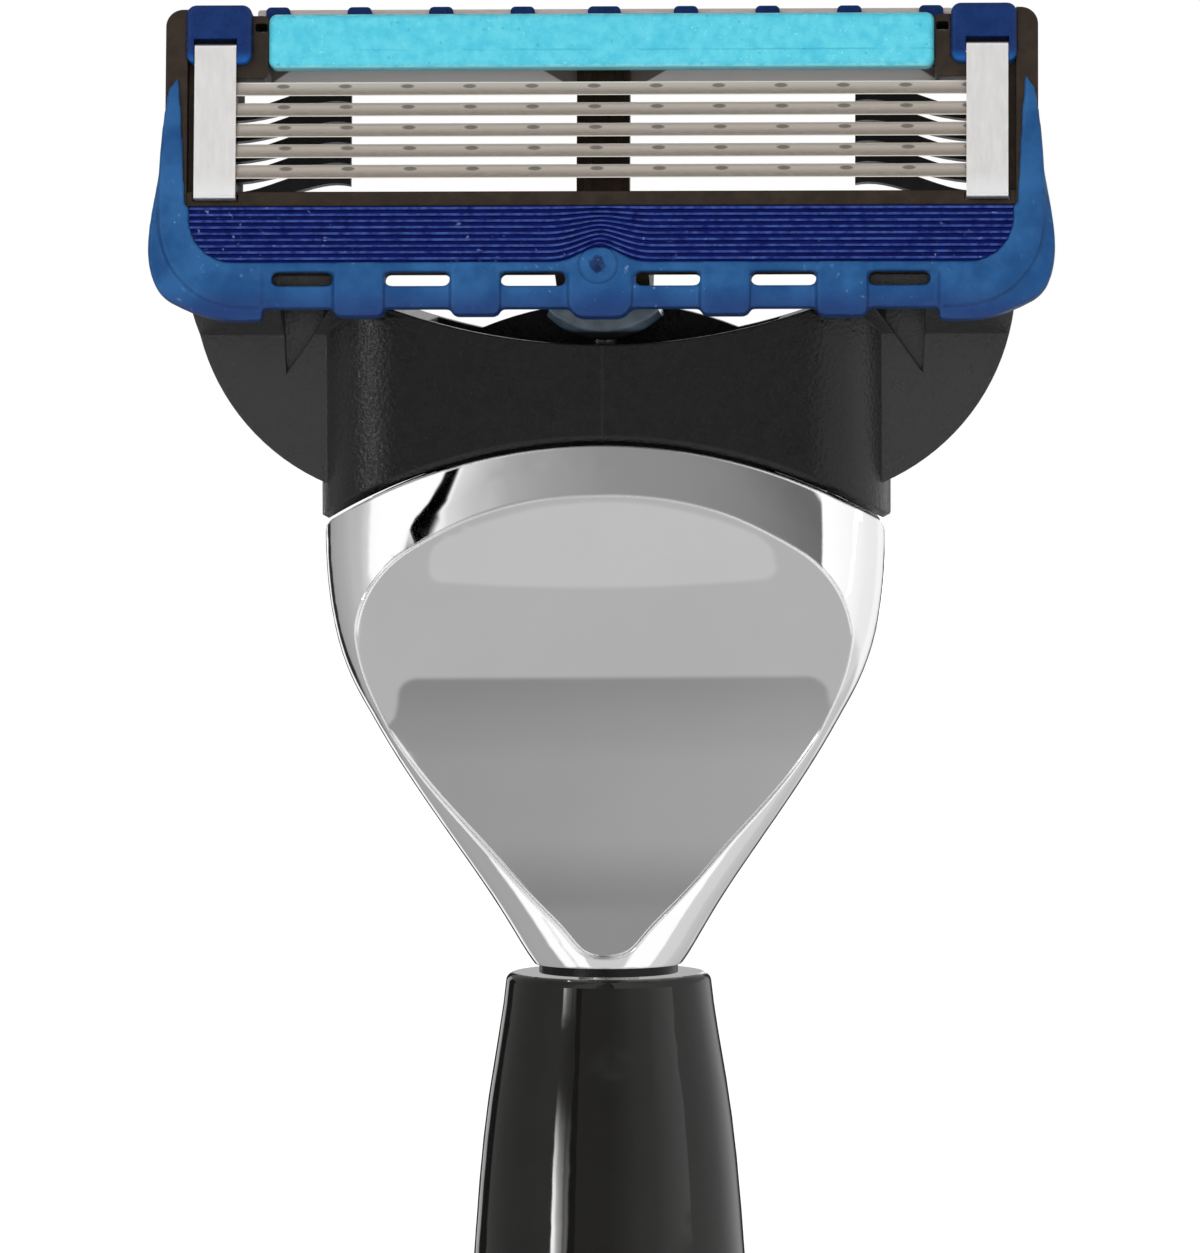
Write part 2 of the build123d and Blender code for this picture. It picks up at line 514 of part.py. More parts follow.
cam_curve = Spline(*[cam_point(0.15 + 0.13 * i) for i in range(11)])
tip = cam_curve @ 1
nose_profile = make_face(cam_curve + Polyline(
    tip, (tip.X + 0.1, tip.Y + 0.5), (PIVOT_Y + 2.0, lift(PIVOT_UP) + 3.2),
    (PIVOT_Y - 1.0, lift(PIVOT_UP) + 3.0), (PIVOT_Y - 1.3, lift(PIVOT_UP) - 0.4), cam_curve @ 0))
cartridge_housing = housing + side_prism(nose_profile, -CAM_HALF, CAM_HALF)

# ================================================================ guard


def fin_line(v):
    """Line across the fins at a height, bending up over the centre tab."""
    low, high = FIN_V
    rise = FIN_LIFT * (high - v) / (high - low)
    hump = Spline((-FIN_BEND, v), (0, v + rise), (FIN_BEND, v), tangents=((1, 0), (1, 0)))
    return Line((-FIN_HALF, v), (-FIN_BEND, v)) + hump + Line((FIN_BEND, v), (FIN_HALF, v))


def fin_band(v_low, v_high):
    """Face between two such lines."""
    ends = [Line((u, v_low), (u, v_high)) for u in (-FIN_HALF, FIN_HALF)]
    return make_face(fin_line(v_low) + fin_line(v_high) + ends[0] + ends[1])


# Opening for the fin insert: a band with swept lower corners.
fin_low, fin_high = FIN_V
corner_arc = ThreePointArc(*FIN_CORNER)
corner = make_face(corner_arc + Polyline(
    FIN_CORNER[-1], (FIN_HALF + 1, fin_low - 1), (FIN_HALF + 1, FIN_CORNER[0][1]), FIN_CORNER[0]))
fin_face = fin_band(fin_low, fin_high) - corner - mirror(corner, Plane.YZ)

# Soft guard frame: a cheek round each end, a fuller roll behind it, and a bar between.
cheek = face_prism(make_face(Spline(*FRAME_LIP) + Polyline(
    FRAME_LIP[-1], (LIP_END_U, FRAME_LIP[-1][1]), (LIP_END_U, fin_low + 0.4), (19.0, 4.6),
    (19.7, fin_high), CHEEK_INNER[0],
) + ThreePointArc(*CHEEK_INNER) + Line(CHEEK_INNER[-1], FRAME_LIP[0])), *LIP_W)
cheek = fillet(cheek.faces().sort_by(Axis.Z)[-1].edges(), LIP_ROUND)
cheek -= block((wall_in - 0.02, wall_out + 0.02), (WALL_STEP[0] - 0.02, 13), (-5, WALL_W[1] + 0.01))
roll = face_prism(make_face(Spline(*FRAME_ROLL) + Polyline(FRAME_ROLL[-1], *ROLL_INNER)), *ROLL_W)
bar_back, bar_front = BAR_W
bar_u = (-LIP_END_U - 0.3, LIP_END_U + 0.3)
guard_frame = block(bar_u, (BAR_BOTTOM, fin_low), BAR_W)
guard_frame += block(bar_u, (slot_high, fin_low + 0.5), (bar_back, RAIL_FRONT))
guard_frame += both_sides(cheek + roll)

# Tabs across the bar, the middle one taller, with the mark of the moulding gate in it.
tomb_half, tomb_low, tomb_high = TOMB
tabs = [(plate((-tomb_half, tomb_half), (tomb_low, tomb_high), 0.8))]
for start, end, low in TABS:
    tabs += [plate((start, end), (low, fin_low + 0.1), 0.35), plate((-end, -start), (low, fin_low + 0.1), 0.35)]
for tab_face in tabs:
    tab = face_prism(tab_face, bar_back, TAB_FRONT)
    guard_frame += fillet(tab.faces().sort_by(Axis.Z)[-1].edges(), TAB_ROUND)
gate_u, gate_v, gate_radius, pit_radius = GATE
guard_frame -= face_prism(Pos(gate_u, gate_v) * Circle(gate_radius), TAB_FRONT - 0.07, 1)
guard_frame -= face_prism(Pos(gate_u, gate_v) * Circle(pit_radius), TAB_FRONT - 0.3, 1)

# Room for the fin insert, the housing behind and the slots.
guard_frame -= face_prism(fin_face, FIN_W[0], 1)
guard_frame -= block(span, (PLATE_V[0], 7), (-5, PLATE_W[1]))
guard_frame -= slots
guard_frame = head * guard_frame

# Fin insert: nine fine ridges on a thin base, let into the frame.
fin_back, fin_floor, fin_crest = FIN_W
guard_fins = face_prism(fin_face, fin_back, fin_floor)
fin_pitch = (fin_high - fin_low) / FIN_COUNT
for i in range(FIN_COUNT):
    v = fin_low + fin_pitch * (i + 0.5)
    ridge = face_prism(fin_band(v - FIN_THICK / 2, v + FIN_THICK / 2), fin_floor - 0.05, fin_crest)
    guard_fins += ridge & face_prism(fin_face, fin_floor - 0.1, 1)
guard_fins = head * guard_fins

# ================================================================ strip, clips and trimmer

# Lubricating strip on the cap shelf.
cap_strip = face_prism(plate((-STRIP_HALF, STRIP_HALF), STRIP_V, 0.4), RAIL_HIGH[3], STRIP_FRONT)
cap_strip = head * fillet(cap_strip.faces().sort_by(Axis.Z)[-1].edges(), 0.35)

# Two folded aluminium clips that hold the blades down.
clip_top = CLIP_FLOOR + CLIP_THICK
low_back, high_back = CLIP_BACK
clip = block(CLIP_U, CLIP_V, (CLIP_FLOOR, clip_top))
clip += block(CLIP_U, (clip_low, clip_low + CLIP_THICK), (low_back, clip_top))
clip += block(CLIP_U, (clip_high - CLIP_THICK, clip_high), (high_back, clip_top))
clip += block(CLIP_U, (clip_low, clip_low + 2.2), (low_back - CLIP_THICK, low_back))
clip += block(CLIP_U, (clip_high - 2.0, clip_high), (high_back - CLIP_THICK, high_back))
clip = fillet(clip.edges().filter_by(Axis.X).group_by(Axis.Z)[-1], 0.2)
clip_right = head * clip
clip_left = mirror(clip_right, Plane.YZ)

# Trimmer carrier: blue end caps notched for the clips, a rear bar and a row of teeth.
end_low, end_high = CAP_END[2:]
cap = face_prism(cap_face, CAP_SEAT, CAP_FRONT)
cap = fillet(cap.faces().sort_by(Axis.Z)[-1].edges(), 0.25)
notch_in, notch_out, notch_top = CAP_NOTCH
cap -= block((notch_in, notch_out), (end_low - 1, notch_top), (-6, 1))
shelf_low = RAIL_HIGH[1] + 0.03
carrier_back = TRIMMER_W[1]
cap += block((CAP_END[0] + 0.2, CAP_END[1] - 0.2), (shelf_low, end_high), (carrier_back, CAP_SEAT + 0.3))
carrier = both_sides(cap)
carrier += block((-20.15, 20.15), (RAIL_HIGH[0] + 0.15, 15.2), (carrier_back, BAR_FRONT))
carrier += block((-20.15, 20.15), (shelf_low, end_high - 0.02), (carrier_back, RAIL_HIGH[2] - 0.1))
tooth_low, tooth_high = TOOTH_V
for i in range(-4, 5):
    half_tooth = TOOTH_HALF * (1.35 if i == 0 else 1.0)
    tooth = plate((TOOTH_PITCH * i - half_tooth, TOOTH_PITCH * i + half_tooth), TOOTH_V, 0.25)
    carrier += face_prism(tooth, carrier_back, BAR_FRONT)
carrier -= both_sides(block(clip_slot_u, (end_low - 1, clip_high + 0.4), (-6, -1)))
carrier -= vents
trimmer_carrier = head * carrier

# Trimmer blade on the back of the carrier.
trimmer_face = plate((-17.2, 17.2), TRIMMER_V, 0.15)
trimmer_blade = head * (face_prism(trimmer_face, *TRIMMER_W) - vents)

# ================================================================ blades

# Each blade is welded to the folded foot of a support that slides in the side blocks.
blade_shapes = {}
slope = tan(radians(BLADE_ANGLE))
under = BLADE_THICK / cos(radians(BLADE_ANGLE))
sheet = under + SUPPORT_THICK
for k, v in enumerate(edges_v, start=1):
    back_v = v + blade_run
    blade = end_prism([
        (v, 0), (back_v, -blade_drop), (back_v, -blade_drop - under), (v + 0.16, -0.16 * slope - under),
    ], -BLADE_HALF, BLADE_HALF)
    start_v = v + SUPPORT_SETBACK
    inner_v = back_v - SUPPORT_THICK
    support = end_prism([
        (start_v, -SUPPORT_SETBACK * slope - under), (back_v, -blade_drop - under),
        (back_v, LEG_END), (inner_v, LEG_END),
        (inner_v, -blade_drop - sheet + SUPPORT_THICK * slope),
        (start_v, -SUPPORT_SETBACK * slope - sheet),
    ], -BLADE_HALF, BLADE_HALF)
    blade_shapes[f"blade_{k}"] = head * blade
    blade_shapes[f"blade_support_{k}"] = head * support

# Sprung fingers under both ends of every blade support, rooted in the side blocks.
finger_curve = Spline(*FINGER_UPPER) + Spline(*FINGER_LOWER)
finger_ends = [Line(FINGER_UPPER[i], FINGER_LOWER[i]) for i in (0, -1)]
finger_face = make_face(finger_curve + finger_ends[0] + finger_ends[1])
fingers = []
for v in edges_v:
    finger = face_prism(Pos(0, v) * finger_face, *FINGER_W)
    finger = head * (finger - block((0, wall_in), (0, window_low + 0.02), (-5, 0)))
    fingers += [finger, mirror(finger, Plane.YZ)]
blade_springs = Compound(children=[Solid(finger.solid().wrapped) for finger in fingers])

# ================================================================ files

nodes = {
    "grip": grip,
    "end_cap": end_cap,
    "tie_rod": tie_rod,
    "neck_washer": neck_washer,
    "neck_shell": neck_shell,
    "dock": dock,
    "dock_screw": dock_screw,
    "release_slide": release_slide,
    "release_spring": release_spring,
    "release_button": release_button,
    "plunger": plunger,
    "plunger_spring": plunger_spring,
    "interconnect": interconnect,
    "cartridge_housing": cartridge_housing,
    "guard_frame": guard_frame,
    "guard_fins": guard_fins,
    "cap_strip": cap_strip,
    "clip_left": clip_left,
    "clip_right": clip_right,
    "trimmer_carrier": trimmer_carrier,
    "trimmer_blade": trimmer_blade,
    "blade_springs": blade_springs,
}
nodes.update(blade_shapes)

for name, shape in nodes.items():
    export_step(shape, f"parts/{name}.step")
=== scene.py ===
from math import cos, radians, sin

import bpy
import numpy as np
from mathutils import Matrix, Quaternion, Vector

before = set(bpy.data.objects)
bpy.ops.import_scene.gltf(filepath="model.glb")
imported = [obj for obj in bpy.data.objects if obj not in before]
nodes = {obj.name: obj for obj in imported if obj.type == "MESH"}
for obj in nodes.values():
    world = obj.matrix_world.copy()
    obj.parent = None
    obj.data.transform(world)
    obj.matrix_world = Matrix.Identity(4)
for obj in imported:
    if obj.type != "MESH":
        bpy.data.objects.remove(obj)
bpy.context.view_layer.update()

# ---------------------------------------------------------------------------
# Grip. A turned and polished resin barrel, drawn tight by the rod inside it.
# Deep black with a wet gloss and the faintest handling marks.


class Graph:
    """Short ways to add nodes to one node tree."""

    def __init__(self, tree):
        self.tree = tree

    def feed(self, socket, value):
        """Links a socket to the input, or sets the plain value."""
        if isinstance(value, bpy.types.NodeSocket):
            self.tree.links.new(value, socket)
        else:
            socket.default_value = value

    def add(self, kind, inputs=(), **settings):
        """New node with the given settings and inputs."""
        node = self.tree.nodes.new(kind)
        for name, value in settings.items():
            setattr(node, name, value)
        for name, value in dict(inputs).items():
            self.feed(node.inputs[name], value)
        return node

    def spot(self):
        """Place on the object, in metres."""
        return self.add("ShaderNodeTexCoord").outputs["Object"]

    def split(self, vector):
        """X, Y and Z of a vector."""
        return self.add("ShaderNodeSeparateXYZ", {0: vector}).outputs

    def math(self, operation, *values, clamp=False):
        """Result of one sum, each value a number or a socket."""
        node = self.add("ShaderNodeMath", enumerate(values), operation=operation, use_clamp=clamp)
        return node.outputs[0]

    def step(self, value, start, end):
        """Smooth step that is 0 at the start value and 1 at the end value."""
        inputs = {"Value": value, "From Min": start, "From Max": end}
        return self.add("ShaderNodeMapRange", inputs, interpolation_type="SMOOTHSTEP").outputs["Result"]

    def band(self, value, middle, half, soft):
        """1 within a distance of the middle value, falling off softly outside."""
        away = self.math("ABSOLUTE", self.math("SUBTRACT", value, middle))
        return self.step(away, half + soft, half)

    def mix(self, factor, a, b):
        """Colour between a and b, which are sockets or (r, g, b)."""
        a, b = [v if isinstance(v, bpy.types.NodeSocket) else (*v, 1.0) for v in (a, b)]
        node = self.add("ShaderNodeMix", data_type="RGBA")
        for index, value in ((0, factor), (6, a), (7, b)):
            self.feed(node.inputs[index], value)
        return node.outputs[2]

    def noise(self, vector, scale, detail=2.0, rough=0.5):
        """Cloudy value from 0 to 1, its scale in clouds to the metre."""
        inputs = {"Vector": vector, "Scale": scale, "Detail": detail, "Roughness": rough}
        return self.add("ShaderNodeTexNoise", inputs).outputs["Fac"]


def group(name, inputs, outputs):
    """Empty node group: its Graph, its input sockets and its output node."""
    tree = bpy.data.node_groups.new(name, "ShaderNodeTree")
    for label, kind, value in inputs:
        socket = tree.interface.new_socket(label, in_out="INPUT", socket_type=kind)
        socket.default_value = value
    for label, kind in outputs:
        tree.interface.new_socket(label, in_out="OUTPUT", socket_type=kind)
    graph = Graph(tree)
    return graph, graph.add("NodeGroupInput").outputs, graph.add("NodeGroupOutput").inputs


# Skin: the slight unevenness of any moulded, ground or rolled surface.
skin, given, out = group("skin", [
    ("Dark", "NodeSocketColor", (0, 0, 0, 1)), ("Light", "NodeSocketColor", (1, 1, 1, 1)),
    ("Scale", "NodeSocketFloat", 1.0), ("Stretch", "NodeSocketVector", (1, 1, 1)),
    ("Rough From", "NodeSocketFloat", 0.3), ("Rough To", "NodeSocketFloat", 0.4),
], [("Color", "NodeSocketColor"), ("Roughness", "NodeSocketFloat"), ("Height", "NodeSocketFloat")])
place = skin.add("ShaderNodeMapping", {"Vector": skin.spot(), "Scale": given["Stretch"]}).outputs["Vector"]
coarse = skin.noise(place, given["Scale"], 4.0, 0.6)
fine = skin.noise(place, skin.math("MULTIPLY", given["Scale"], 3.1), 2.0)
spread = skin.step(coarse, 0.3, 0.7)
skin.feed(out["Color"], skin.mix(spread, given["Dark"], given["Light"]))
rough = skin.add("ShaderNodeMapRange", {
    "Value": fine, "From Min": 0.3, "From Max": 0.7,
    "To Min": given["Rough From"], "To Max": given["Rough To"]})
skin.feed(out["Roughness"], rough.outputs["Result"])
skin.feed(out["Height"], fine)


class Paint(Graph):
    """A material with a Principled shader, coloured and roughened by the skin group."""

    def __init__(self, name, dark, light, scale, rough, stretch=(1, 1, 1), **values):
        self.material = bpy.data.materials.new(name)
        self.material.use_nodes = True
        super().__init__(self.material.node_tree)
        self.rounded = None
        self.shader = self.tree.nodes["Principled BSDF"]
        for label, value in values.items():
            self.shader.inputs[label.replace("_", " ")].default_value = value
        dark, light = [(v, v, v) if isinstance(v, float) else v for v in (dark, light)]
        self.skin = self.place(skin, {
            "Dark": (*dark, 1), "Light": (*light, 1), "Scale": scale, "Stretch": stretch,
            "Rough From": rough[0], "Rough To": rough[1]})
        self.colour(self.skin["Color"])
        self.feed(self.shader.inputs["Roughness"], self.skin["Roughness"])

    def place(self, graph, inputs=()):
        """Outputs of a node group placed in this material."""
        return self.add("ShaderNodeGroup", inputs, node_tree=graph.tree).outputs

    def colour(self, value):
        """Base colour of the shader, from a socket."""
        self.feed(self.shader.inputs["Base Color"], value)
        return self

    def soften(self, radius):
        """Lets sharp edges catch the light as if they were rounded to a small radius."""
        self.rounded = self.add("ShaderNodeBevel", {"Radius": radius}).outputs["Normal"]
        self.feed(self.shader.inputs["Normal"], self.rounded)
        return self

    def bump(self, height, distance, strength=1.0):
        """Feeds the shader's normal from a height in metres."""
        node = self.add("ShaderNodeBump", {"Height": height, "Distance": distance, "Strength": strength})
        if self.rounded:
            self.feed(node.inputs["Normal"], self.rounded)
        self.feed(self.shader.inputs["Normal"], node.outputs["Normal"])
        return self

    def on(self, *names, angle=30):
        """Gives the material to CAD nodes, with edges over the angle kept crisp."""
        for name in names:
            mesh = nodes[name].data
            mesh.materials.clear()
            mesh.materials.append(self.material)
            mesh.polygons.foreach_set("use_smooth", np.ones(len(mesh.polygons), bool))
            mesh.set_sharp_from_angle(angle=radians(angle))
        return self


Paint("handle_resin", (0.0072, 0.0068, 0.006), (0.0092, 0.0088, 0.0078), 260.0, (0.04, 0.06),
      Specular_IOR_Level=0.32).on("grip")

# ---------------------------------------------------------------------------
# Neck. A zinc casting, polished by hand and chromed, so its edges are a little
# rounded, its front is faintly barrelled, and its foot flares over the washer.

chrome = Paint("neck_chrome", 0.81, 0.84, 120.0, (0.012, 0.025), Metallic=1.0)
foot_height, edge_round = 0.09545, 0.00018
dish_foot, dish_top, edge_soft = 0.0026, 0.0163, 0.0003
barrel_radius, barrel_growth = 0.117, 34.0
shoulder_lean, foot_flare, flare_top = -0.26, 0.61, 0.010
spot = chrome.split(chrome.spot())
facing = chrome.split(chrome.add("ShaderNodeNewGeometry").outputs["Normal"])
above = chrome.math("SUBTRACT", spot["Z"], foot_height)
# The polished front falls back from its middle, leans back as it rises, and flares
# at the foot.
barrel = chrome.math("MULTIPLY", chrome.math("MULTIPLY", spot["X"], spot["X"]), -0.5 / barrel_radius)
barrel = chrome.math("MULTIPLY", barrel, chrome.math("MULTIPLY_ADD", above, barrel_growth, 0.1))
flare = chrome.math("MINIMUM", chrome.math("SUBTRACT", above, flare_top), 0.0)
height = chrome.math("MULTIPLY_ADD", above, shoulder_lean, barrel)
height = chrome.math("MULTIPLY_ADD", flare, foot_flare, height)
rounded = chrome.add("ShaderNodeBevel", {"Radius": edge_round}, samples=6).outputs["Normal"]
polished = chrome.add("ShaderNodeBump", {
    "Height": height, "Distance": 1.0, "Strength": 1.0, "Normal": rounded})
# It is polished so on the front of the shoulder, over the dish, and of the foot,
# under it.
over_dish = chrome.step(above, dish_top, dish_top + edge_soft)
under_dish = chrome.step(above, dish_foot + edge_soft, dish_foot)
shoulder = chrome.math("MULTIPLY", over_dish, chrome.step(facing["Z"], -0.13, -0.11))
foot = chrome.math("MULTIPLY", under_dish, chrome.step(facing["Z"], 0.02, -0.02))
forward = chrome.step(facing["Y"], -0.82, -0.91)
front = chrome.math("MULTIPLY", chrome.math("MAXIMUM", shoulder, foot), forward)
shape = chrome.add("ShaderNodeMix", data_type="VECTOR")
for index, value in ((0, front), (4, rounded), (5, polished.outputs["Normal"])):
    chrome.feed(shape.inputs[index], value)
chrome.feed(chrome.shader.inputs["Normal"], shape.outputs[1])
chrome.on("end_cap", "neck_shell")

# ---------------------------------------------------------------------------
# Rod, springs, screws and washer. The rod that draws the handle together, the coil
# springs and the screws are plain steel, and the washer is black rubber squeezed
# between the neck and the grip.

Paint("plain_steel", 0.40, 0.52, 1500.0, (0.25, 0.45), Metallic=1.0).on(
    "tie_rod", "dock_screw", "plunger_spring", "release_spring")
Paint("black_rubber", 0.002, 0.004, 2000.0, (0.25, 0.4), Specular_IOR_Level=0.2).on("neck_washer")

# ---------------------------------------------------------------------------
# Dock, release slide, button and spring fingers. All moulded in black plastic with a
# fine matt skin: two screws hold the dock down in the neck, the slide and the button
# move up and down together in it, and the fingers lie under the blades.

Paint("black_plastic", 0.009, 0.015, 1800.0, (0.34, 0.46)).on(
    "dock", "release_slide", "release_button", "blade_springs")

# ---------------------------------------------------------------------------
# Plunger. Grey-blue acetal, its head polished where the cam rubs it, its stem
# painted near black below the head as the shade it stands in inside the yoke.

acetal = Paint("plunger_acetal", (0.05, 0.075, 0.10), (0.09, 0.125, 0.16), 1200.0, (0.12, 0.18),
               Specular_IOR_Level=1.0, Metallic=0.2)
head_underside = 0.1271
# Painted shade: the stem below the head is coloured near black, as the shade it stands in inside the yoke.
painted_shade_under_head = acetal.step(acetal.split(acetal.spot())["Z"], head_underside, head_underside - 0.0003)
acetal.colour(acetal.mix(painted_shade_under_head, acetal.skin["Color"], (0.008, 0.009, 0.01))).on("plunger")

# ---------------------------------------------------------------------------
# Yoke. One satin black moulding with a fine leathery grain, a faint parting line
# up its middle, and arms coloured a lighter grey than its middle.

grained = Paint("yoke_plastic", 0.0008, 0.0016, 700.0, (0.27, 0.35), Specular_IOR_Level=0.36)
arm_start, arm_end, corner_radius = 0.0118, 0.0140, 0.00015
line_outside, line_inside = 0.0001, 0.00002
spot = grained.spot()
aside = grained.math("ABSOLUTE", grained.split(spot)["X"])
# The arms are coloured a lighter grey, outward of the middle.
lighter_arms = grained.math("MULTIPLY", grained.step(aside, arm_start, arm_end), 0.8)
tone = grained.mix(lighter_arms, grained.skin["Color"], (0.030, 0.029, 0.029))
parting = grained.math("MULTIPLY", grained.step(aside, line_outside, line_inside), 0.4)
grained.colour(grained.mix(parting, tone, (0.012, 0.012, 0.012)))
grain = grained.noise(spot, 5200.0, 2.0)
grained.soften(corner_radius).bump(grain, 0.00005, 0.9).on("interconnect")

# ---------------------------------------------------------------------------
# Cartridge housing. A dark brown-black moulding that carries all the other pieces
# of the cartridge and hangs on the pins of the yoke, its edges a little rounded.

edge_radius = 0.0001
Paint("housing_plastic", (0.016, 0.010, 0.006), (0.028, 0.018, 0.011), 1500.0, (0.3, 0.42),
      Specular_IOR_Level=0.3).soften(edge_radius).on("cartridge_housing")

# ---------------------------------------------------------------------------
# Guard frame. Soft elastomer moulded over the housing, its edges never quite sharp:
# satin blue, darker and more purple towards the lower ends of the tabs, with lint.

# Head position: across the head, up its face and out of its face, in millimetres.
head_place, given, out = group("head_place", [], [
    ("U", "NodeSocketFloat"), ("V", "NodeSocketFloat"), ("W", "NodeSocketFloat")])
tilt = radians(10.0)
pivot, pivot_v, pivot_w = (-4.4, 130.25), 3.13, -2.8
face_y = pivot[0] + pivot_w * cos(tilt) - pivot_v * sin(tilt)
face_z = pivot[1] - pivot_w * sin(tilt) - pivot_v * cos(tilt)
axes = {"U": (1, 0, 0), "V": (0, sin(tilt), cos(tilt)), "W": (0, -cos(tilt), sin(tilt))}
spot = head_place.spot()
for label, axis in axes.items():
    dot = head_place.add("ShaderNodeVectorMath", {0: spot, 1: axis}, operation="DOT_PRODUCT")
    start = face_y * axis[1] + face_z * axis[2]
    along = head_place.math("MULTIPLY_ADD", dot.outputs["Value"], 1000.0, -start)
    head_place.feed(out[label], along)

# Lint: short pale fibres and dust, few and small.
lint, given, out = group("lint", [("Amount", "NodeSocketFloat", 0.5)], [("Mask", "NodeSocketFloat")])
spot = lint.spot()
bend = lint.add("ShaderNodeTexNoise", {"Vector": spot, "Scale": 900.0}).outputs["Color"]
reach = (0.0012, 0.0012, 0.0012)
bent = lint.add("ShaderNodeVectorMath", {0: bend, 1: reach, 2: spot}, operation="MULTIPLY_ADD")
grain = lint.noise(bent.outputs["Vector"], 2600.0, 3.0)
patch = lint.noise(spot, 350.0)
flecks = lint.math("MULTIPLY", lint.step(grain, 0.66, 0.74), lint.step(patch, 0.45, 0.65))
lint.feed(out["Mask"], lint.math("MULTIPLY", flecks, given["Amount"]))

guard = Paint("guard_rubber", (0.008, 0.058, 0.18), (0.022, 0.105, 0.275), 480.0, (0.34, 0.46),
              Specular_IOR_Level=0.22)
tab_top, tab_end = 1.9, 0.2
at = guard.place(head_place)
low = guard.step(at["V"], tab_top, tab_end)
tone = guard.mix(guard.math("MULTIPLY", low, 0.75), guard.skin["Color"], (0.010, 0.026, 0.12))
# The moulder's gate on the middle tab: a fine ring round a torn pit, in millimetres.
gate_u, gate_v, gate_radius, pit_radius = -0.1, 2.7, 0.95, 0.36
torn = guard.math("MULTIPLY_ADD", guard.noise(guard.spot(), 2500.0), 0.5, -0.25)
squares = [guard.math("POWER", guard.math("SUBTRACT", at[axis], place), 2.0)
           for axis, place in (("U", gate_u), ("V", gate_v))]
reach = guard.math("SQRT", guard.math("ADD", *squares))
ringed = guard.band(reach, gate_radius, 0.02, 0.07)
pitted = guard.step(guard.math("ADD", reach, torn), pit_radius + 0.06, pit_radius - 0.06)
sunk = guard.math("MAXIMUM", guard.math("MULTIPLY", ringed, 0.35), pitted)
tone = guard.mix(guard.math("MULTIPLY", sunk, 0.8), tone, (0.004, 0.012, 0.06))
guard.colour(guard.mix(guard.place(lint, {"Amount": 0.35})["Mask"], tone, (0.35, 0.5, 0.75)))
grain = guard.math("MULTIPLY", guard.skin["Height"], 0.00001)
depth = guard.math("MULTIPLY_ADD", guard.math("MAXIMUM", ringed, pitted), -0.00006, grain)
guard.bump(depth, 1.0, 0.8).on("guard_frame")
soften = nodes["guard_frame"].modifiers.new("remesh", "REMESH")
soften.mode = "VOXEL"
soften.voxel_size = 0.0001
soften.use_smooth_shade = True
smooth = nodes["guard_frame"].modifiers.new("smooth", "SMOOTH")
smooth.factor = 0.5
smooth.iterations = 8

# ---------------------------------------------------------------------------
# Fin insert. A second, deep navy elastomer with nine fine ridges, pale along
# their crests where the light catches them.

fins = Paint("fin_rubber", (0.002, 0.005, 0.085), (0.004, 0.010, 0.13), 1800.0, (0.35, 0.5),
             Specular_IOR_Level=0.12)
at = fins.place(head_place)
crest_breakup = fins.noise(fins.spot(), 2600.0, 3.0)
# Painted highlight along the ridge crests, broken up by noise.
crest = fins.math("MULTIPLY", fins.step(at["W"], 0.05, 0.12), fins.step(crest_breakup, 0.2, 0.75))
tone = fins.mix(crest, fins.skin["Color"], (0.05, 0.10, 0.32))
fins.colour(fins.mix(fins.place(lint, {"Amount": 0.6})["Mask"], tone, (0.4, 0.5, 0.8)))
fins.on("guard_fins")

# ---------------------------------------------------------------------------
# Lubricating strip. A chalky aqua polymer bar, cut with ragged, paler edges, with
# specks all over and a faint drag line along its lower third.

strip = Paint("strip_polymer", (0.06, 0.48, 0.63), (0.115, 0.58, 0.70), 1500.0, (0.5, 0.65))
middle_v, edge_inside, edge_outside, line_v = 13.785, 1.2, 1.32, 13.28
at = strip.place(head_place)
spot = strip.spot()
ragged = strip.math("MULTIPLY_ADD", strip.noise(spot, 2200.0, 3.0), 0.3, -0.15)
side = strip.math("ABSOLUTE", strip.math("SUBTRACT", at["V"], middle_v))
side = strip.step(strip.math("ADD", side, ragged), edge_inside, edge_outside)
tone = strip.mix(strip.math("MULTIPLY", side, 0.55), strip.skin["Color"], (0.35, 0.82, 0.88))
line = strip.band(strip.math("MULTIPLY_ADD", ragged, 0.3, at["V"]), line_v, 0.02, 0.04)
line = strip.math("MULTIPLY", line, strip.step(strip.noise(spot, 260.0, 2.0), 0.38, 0.6))
tone = strip.mix(strip.math("MULTIPLY", line, 0.55), tone, (0.02, 0.33, 0.46))
specks = strip.step(strip.noise(spot, 5200.0, 2.0), 0.66, 0.74)
tone = strip.mix(strip.math("MULTIPLY", specks, 0.3), tone, (0.45, 0.88, 0.95))
pits = strip.step(strip.noise(spot, 3100.0, 1.0), 0.3, 0.24)
strip.colour(strip.mix(strip.math("MULTIPLY", pits, 0.5), tone, (0.02, 0.3, 0.42)))
strip.bump(strip.noise(spot, 5200.0, 3.0), 0.00003, 0.7).on("cap_strip")

# ---------------------------------------------------------------------------
# Clips. Folded from rolled aluminium sheet, satin with a faint lengthwise grain
# and a brighter lower end, where the sheet turns into the light.

rolled = Paint("clip_aluminium", (0.88, 0.86, 0.85), (0.95, 0.93, 0.92), 700.0, (0.3, 0.42), (6, 1, 1),
               Metallic=0.8)
turn_start, turn_end = 7.2, 6.2
at = rolled.place(head_place)
turned_end = rolled.step(at["V"], turn_start, turn_end)
rolled.colour(rolled.mix(turned_end, rolled.skin["Color"], (1.0, 1.0, 1.0)))
rolled.on("clip_left", "clip_right")
